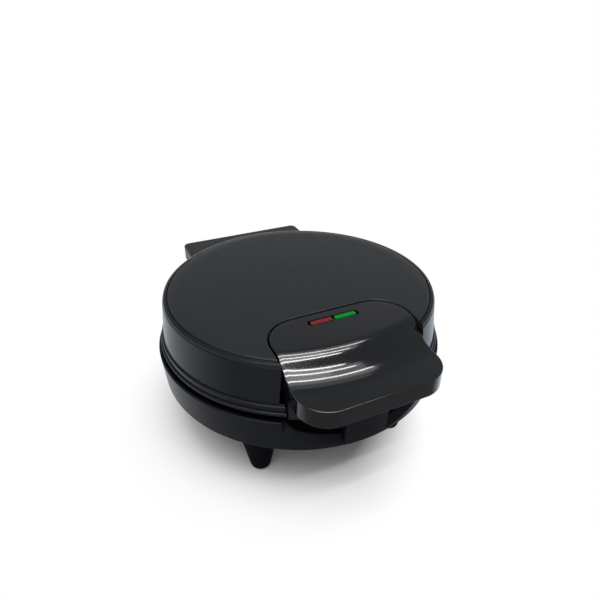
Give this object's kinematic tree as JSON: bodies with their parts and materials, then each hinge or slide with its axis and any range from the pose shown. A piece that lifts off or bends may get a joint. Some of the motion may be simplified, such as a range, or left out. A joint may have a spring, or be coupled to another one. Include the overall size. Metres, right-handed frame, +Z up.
{
  "type": "donut maker",
  "caption": "Round table-top donut maker: a hinged lid with a swept front handle and lamps closes on a footed base, with ring cups in the baking plates.",
  "frame": {"origin": "on the table, under the middle of the whole part", "axes": "+Z up, -Y towards the handle, +Y towards the hinge, +X to the right of someone holding the handle"},
  "size_m": [0.206, 0.25, 0.1075],
  "materials": {
    "lid_black": "smooth semi gloss black moulding",
    "panel_black": "fine grained satin black",
    "handle_black": "polished black",
    "base_black": "smooth semi gloss black moulding",
    "foot_rubber": "matte black",
    "red_lens_plastic": "clear red lens",
    "green_lens_plastic": "clear green lens",
    "nonstick": "cast with a dark non-stick coat",
    "heater_steel": "heat dulled tube",
    "reflector_sheet": "bright sheet",
    "screw_steel": "zinc plated",
    "pin_steel": "ground",
    "phenolic": "heat proof moulding",
    "fuse_ceramic": "white sleeve",
    "lamp_glass": "clear bulb",
    "tab_brass": "plain sheet"
  },
  "bodies": {
    "base": {"base_shell": "base_black", "bottom_cover": "base_black", "bottom_screws": "screw_steel", "lower_baking_plate": "nonstick", "lower_heater": "heater_steel", "lower_reflector": "reflector_sheet", "lower_reflector_screws": "screw_steel", "hinge_pin_left": "pin_steel", "hinge_pin_right": "pin_steel", "cord_inlet": "foot_rubber", "terminal_block": "phenolic", "earth_tab": "tab_brass", "foot_front_left": "foot_rubber", "foot_front_right": "foot_rubber", "foot_rear_right": "foot_rubber", "foot_rear_left": "foot_rubber"},
    "lid": {"lid_shell": "lid_black", "lid_top_panel": "panel_black", "handle_top": "handle_black", "handle_bottom": "base_black", "handle_screws": "screw_steel", "red_lens": "red_lens_plastic", "green_lens": "green_lens_plastic", "lamp_holder": "phenolic", "neon_lamps": "lamp_glass", "upper_baking_plate": "nonstick", "upper_heater": "heater_steel", "upper_reflector": "reflector_sheet", "upper_reflector_screws": "screw_steel", "thermostat": "phenolic", "thermal_fuse": "fuse_ceramic"}
  },
  "joints": [
    {"name": "lid_hinge", "type": "hinge", "parent": "base", "child": "lid", "pos_m": [0, 0.1155, 0.0695], "axis": [-1, 0, 0], "range_deg": [0, 100]}
  ]
}
